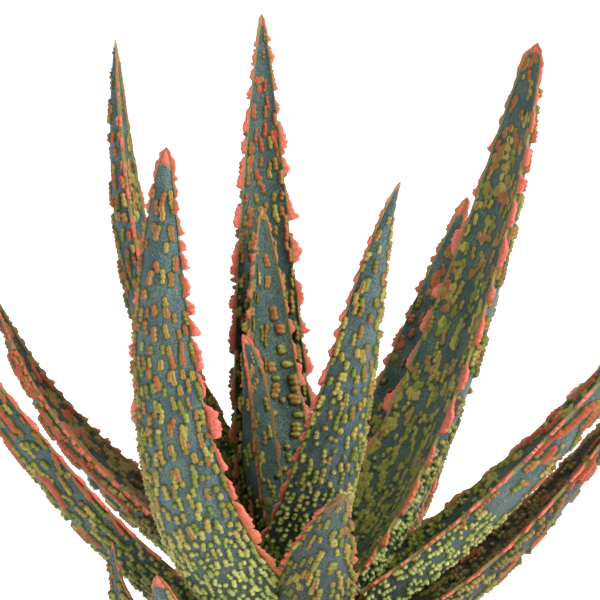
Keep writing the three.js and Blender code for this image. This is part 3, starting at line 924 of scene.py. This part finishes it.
POT_STEP = 1.2  # mm between corners along the pot's outline
POT_SEGMENTS = 200  # round the pot
HAND = 0.16  # mm, about what a hand-thrown wall wanders from true
TRUE_FOOT = 3  # mm above the base by which the wall wanders in full
DRILL_SIDES = 48
DRILL_LENGTH = 50  # mm, well past both faces of the pot's floor
SHARP_TURN = math.radians(50)  # between two faces whose edge stays sharp


def circle(radius, count):
    """Angle, x and y of evenly spaced points round the pot's axis."""
    for k in range(count):
        angle = 2 * math.pi * k / count
        yield angle, radius * math.cos(angle), radius * math.sin(angle)


def roughness(x, y, z):
    """Smooth noise at a place, from about -1 to 1."""
    return noise.noise(Vector((x, y, z)))


def turned_outline(node):
    """Half the outline of a turned CAD solid, from the rim of its base up and round to its floor, mm."""
    corners, triangles = cad_solid(node)
    joined = {i: set() for i, c in enumerate(corners) if abs(c[1]) < 0.02 and c[0] > 1}
    for triangle in triangles.tolist():
        for i, j in zip(triangle, triangle[1:] + triangle[:1]):
            if i in joined and j in joined:
                joined[i].add(j)
                joined[j].add(i)
    here = min(joined, key=lambda i: (round(corners[i][2], 2), -corners[i][0]))
    outline = []
    while here is not None:
        outline.append((corners[here][0], corners[here][2]))
        onward = [i for i in joined.pop(here) if i in joined]
        here = onward[0] if onward else None
    return outline


def finely(outline, step):
    """An outline with corners no further apart than a step."""
    points = [outline[0]]
    for (x0, z0), (x1, z1) in zip(outline, outline[1:]):
        count = max(1, math.ceil(math.dist((x0, z0), (x1, z1)) / step))
        for k in range(1, count + 1):
            points.append((x0 + (x1 - x0) * k / count, z0 + (z1 - z0) * k / count))
    return points


def drain_holes():
    """Centre and radius of each hole through the pot's floor, mm."""
    corners, _ = cad_solid("pot")
    reach = np.hypot(corners[:, 0], corners[:, 1])
    base = np.abs(corners[:, 2]) < 0.01
    outer = reach[base].max()
    edge = corners[base & (reach < outer - 5) & (reach > 1)]  # inside the foot's rim, off the axis
    holes = []
    while len(edge):
        near = np.linalg.norm(edge - edge[0], axis=1) < outer / 2
        centre = 0.5 * (edge[near].min(0) + edge[near].max(0))
        holes.append((centre, np.linalg.norm(edge[near] - centre, axis=1).max()))
        edge = edge[~near]
    return holes


def ring_faces(count, around):
    """Quads between rings of corners that are listed one ring after another."""
    faces = []
    for r in range(count - 1):
        for k in range(around):
            n = (k + 1) % around
            faces.append([r * around + k, r * around + n, (r + 1) * around + n, (r + 1) * around + k])
    return faces


def end_faces(count, around):
    """The faces that close the last ring and the first."""
    last = (count - 1) * around
    return [list(range(last, last + around)), list(range(around))[::-1]]


def drill(piece, centre, radius):
    """Cut a straight hole through a piece, along the pot's axis."""
    bpy.ops.mesh.primitive_cylinder_add(
        vertices=DRILL_SIDES, radius=radius * MM, depth=DRILL_LENGTH * MM, location=Vector(centre) * MM,
    )
    bit = bpy.context.object
    cut = piece.modifiers.new("drain", "BOOLEAN")
    cut.operation = "DIFFERENCE"
    cut.solver = "EXACT"
    cut.object = bit
    bpy.context.view_layer.update()
    evaluated = piece.evaluated_get(bpy.context.evaluated_depsgraph_get())
    drilled = bpy.data.meshes.new_from_object(evaluated)
    piece.modifiers.clear()
    piece.data = drilled
    bpy.data.objects.remove(bit)


def build_pot():
    """The thrown clay pot: its CAD outline turned finely, its wall a little untrue, its holes drilled."""
    outline = finely(turned_outline("pot"), POT_STEP)
    vertices = []
    for radius, height in outline:
        for angle, x, y in circle(radius, POT_SEGMENTS):
            spot = Vector((x, y, height))
            drift = roughness(spot.x * 0.03, spot.y * 0.03, height * 0.05)
            ridge = roughness(math.cos(angle), math.sin(angle), height * 0.55)
            pit = noise.noise(spot * 0.9)
            out = HAND * (drift + 0.7 * ridge + 0.25 * pit) * min(1, height / TRUE_FOOT)
            vertices.append((spot.x + out * math.cos(angle), spot.y + out * math.sin(angle), height))
    faces = ring_faces(len(outline), POT_SEGMENTS) + end_faces(len(outline), POT_SEGMENTS)
    pot = new_piece("clay_pot", vertices, faces, CLAY, "clay", ["pot"])
    for centre, radius in drain_holes():
        drill(pot, centre, radius)
    pot.data.materials.clear()
    pot.data.materials.append(CLAY)
    pot.data.polygons.foreach_set("use_smooth", [True] * len(pot.data.polygons))
    for edge in sharp_edges(pot.data, SHARP_TURN):
        edge.use_edge_sharp = True


def sharp_edges(data, angle):
    """The edges of a mesh where its faces turn by more than an angle."""
    faces_at = {}
    for face in data.polygons:
        for key in face.edge_keys:
            faces_at.setdefault(key, []).append(face.normal)
    for edge in data.edges:
        normals = faces_at.get(edge.key, [])
        if len(normals) == 2 and normals[0].angle(normals[1], 0) > angle:
            yield edge


# ---- the potting mix and the stem

MIX_RINGS, MIX_SEGMENTS = 70, 220
MIX_SKIRT = 3.0  # mm that the rough surface reaches down at its edges
MIX_LIFT = 1.0  # mm that it lies over the CAD solid
STEM_ROWS, STEM_SEGMENTS = 90, 120
BARK_FOOT = 3  # mm that the bark starts below the top of the mix
BARK_TOP = 6  # mm that it ends below the top of the stem

# name, how many, least and greatest half size in mm, shape, material, slot, unevenness, fineness
GRAINS = (
    ("mix_crumbs", 1100, (0.45, 1.5), (1.0, 0.85, 0.7), MIX, "potting_mix", 0.35, 1),
    ("bark_chips", 210, (1.4, 3.6), (1.0, 0.55, 0.24), CHIP, "bark", 0.3, 1),
    ("perlite_grains", 150, (0.6, 1.5), (1.0, 0.9, 0.85), PERLITE, "potting_mix", 0.22, 2),
)


def build_mix():
    """The loose top of the potting mix, with crumbs, bark chips and perlite lying on it."""
    corners, triangles = cad_solid("potting_mix")
    mound = BVHTree.FromPolygons(corners.tolist(), triangles.tolist())
    high = corners[:, 2].max()
    reach = np.hypot(corners[:, 0], corners[:, 1])
    outer = reach.max() - 0.2
    inner = reach[corners[:, 2] > high - 0.1].min() + 0.05

    def surface(x, y):
        """Height of the rough top of the mix."""
        hit = mound.ray_cast(Vector((x, y, high + 5)), Vector((0, 0, -1)))[0]
        level = hit.z if hit else high
        rough = noise.noise(Vector((x, y, 0)) * 0.16) + 0.6 * noise.noise(Vector((x, y, 5)) * 0.5)
        return level + MIX_LIFT + 0.7 * rough + 0.35 * noise.noise(Vector((x, y, 9)) * 1.3)

    radii = [inner + (outer - inner) * k / (MIX_RINGS - 1) for k in range(MIX_RINGS)]
    vertices = []
    for i, radius in enumerate([radii[0], *radii, radii[-1]]):
        drop = MIX_SKIRT if i in (0, MIX_RINGS + 1) else 0
        vertices += [(x, y, surface(x, y) - drop) for _, x, y in circle(radius, MIX_SEGMENTS)]
    faces = [face[::-1] for face in ring_faces(MIX_RINGS + 2, MIX_SEGMENTS)]
    last = (MIX_RINGS + 1) * MIX_SEGMENTS
    for k in range(MIX_SEGMENTS):
        n = (k + 1) % MIX_SEGMENTS
        faces.append([last + n, last + k, k, n])
    new_piece("mix_surface", vertices, faces, MIX, "potting_mix")
    rng = np.random.default_rng(71)
    for grains in GRAINS:
        scatter(rng, surface, inner, outer, *grains)


def scatter(rng, surface, inner, outer, name, count, sizes, shape, material, slot, uneven, detail):
    """Lumps lying on the mix, in one piece, left out where a leaf is in the way."""
    ball = bmesh.new()
    bmesh.ops.create_icosphere(ball, subdivisions=detail, radius=1)
    round_corners = np.array([v.co[:] for v in ball.verts])
    ball_faces = np.array([[v.index for v in f.verts] for f in ball.faces])
    ball.free()
    vertices, faces = [], []
    for _ in range(count):
        size = rng.uniform(*sizes)
        angle = rng.uniform(0, 2 * math.pi)
        radius = math.sqrt(rng.uniform((inner + size) ** 2, (outer - size) ** 2))
        x, y = radius * math.cos(angle), radius * math.sin(angle)
        centre = Vector((x, y, surface(x, y) + 0.25 * size * shape[2]))
        turn = Euler(rng.uniform(-0.5, 0.5, 2).tolist() + [rng.uniform(0, 6.28)]).to_matrix()
        lumps = 1 + uneven * rng.uniform(-1, 1, len(round_corners))
        if everything.find_nearest(centre)[3] < size + 0.4:
            continue
        grain = round_corners * lumps[:, None] * size * np.array(shape)
        grain = grain @ np.array(turn).T + np.array(centre)
        faces += (ball_faces + len(vertices)).tolist()
        vertices += grain.tolist()
    new_piece(name, vertices, faces, material, slot, smooth=detail > 1)


def build_stem():
    """The woody skin of the stem above the mix, ringed by the scars of fallen leaves."""
    corners, triangles = cad_solid("stem_and_roots")
    wood = BVHTree.FromPolygons(corners.tolist(), triangles.tolist())
    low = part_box("potting_mix")[1].z / MM - BARK_FOOT
    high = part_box("stem_and_roots")[1].z / MM - BARK_TOP
    vertices = []
    for r in range(STEM_ROWS):
        height = low + (high - low) * r / (STEM_ROWS - 1)
        level = Vector((0, 0, height))
        for angle, x, y in circle(1, STEM_SEGMENTS):
            out = Vector((x, y, 0))
            hit = wood.ray_cast(level + out * 30, -out)[0]
            radius = math.hypot(hit.x, hit.y)
            scar = abs(math.sin(height * 0.85 + 0.35 * math.sin(2 * angle) + 0.3 * math.sin(5 * angle)))
            bark = 0.3 + 0.45 * (1 - scar) ** 2 + 0.25 * noise.noise(out * 6 + level * 0.5)
            room = everything.find_nearest(out * radius + level)[3]
            lift = min(max(bark, 0.1), max(room - CLEARANCE, 0.03))
            vertices.append(tuple(out * (radius + lift) + level))
    faces = ring_faces(STEM_ROWS, STEM_SEGMENTS) + end_faces(STEM_ROWS, STEM_SEGMENTS)[::-1]
    new_piece("stem_bark", vertices, faces, BARK, "bark")


build_pot()
build_mix()
build_stem()

# ---- floor, light and camera

bpy.ops.mesh.primitive_plane_add(size=16, location=(0, 2, 0))
floor = bpy.context.object
floor.name = "floor"
pale = Paint("pale_floor").finish(
    Base_Color=(0.9, 0.9, 0.9, 1), Roughness=0.9, Emission_Color=(1, 1, 1, 1), Emission_Strength=0.5,
)
floor.data.materials.append(pale)
# Blender's own starting scene
for leftover in ("Cube", "Light", "Camera"):
    if leftover in bpy.data.objects:
        bpy.data.objects.remove(bpy.data.objects[leftover])


def soft_light(name, place, target, size, power):
    """A large square light that faces a point."""
    lamp = bpy.data.lights.new(name, "AREA")
    lamp.shape = "SQUARE"
    lamp.size = size
    lamp.energy = power
    made = bpy.data.objects.new(name, lamp)
    made.location = place
    made.rotation_euler = (Vector(target) - Vector(place)).to_track_quat("-Z", "Y").to_euler()
    bpy.context.scene.collection.objects.link(made)


# metres and watts: place, target, side of the light, power
soft_light("key_light", (1.1, -0.8, 1.3), (0, 0, 0.2), 0.7, 36)
soft_light("fill_light", (-1.5, -0.8, 0.9), (0, 0, 0.2), 1.2, 8)
soft_light("sky_light", (0, 0.6, 2.4), (0, 0, 0), 2.2, 24)

world = bpy.data.worlds.new("studio")
world.use_nodes = True
background = world.node_tree.nodes["Background"]
background.inputs["Color"].default_value = (1, 1, 1, 1)
background.inputs["Strength"].default_value = 0.5
bpy.context.scene.world = world
bpy.context.scene.view_settings.view_transform = "Standard"

AIM = Vector((0.003, 0, 0.222))  # metres
ELEVATION = math.radians(12)
DISTANCE = 1.2  # metres from the aim
lens = bpy.data.cameras.new("camera")
lens.sensor_width = 36
lens.lens = 216
camera = bpy.data.objects.new("camera", lens)
camera.location = AIM + DISTANCE * Vector((0, -math.cos(ELEVATION), math.sin(ELEVATION)))
camera.rotation_euler = (AIM - camera.location).to_track_quat("-Z", "Y").to_euler()
bpy.context.scene.collection.objects.link(camera)
bpy.context.scene.camera = camera
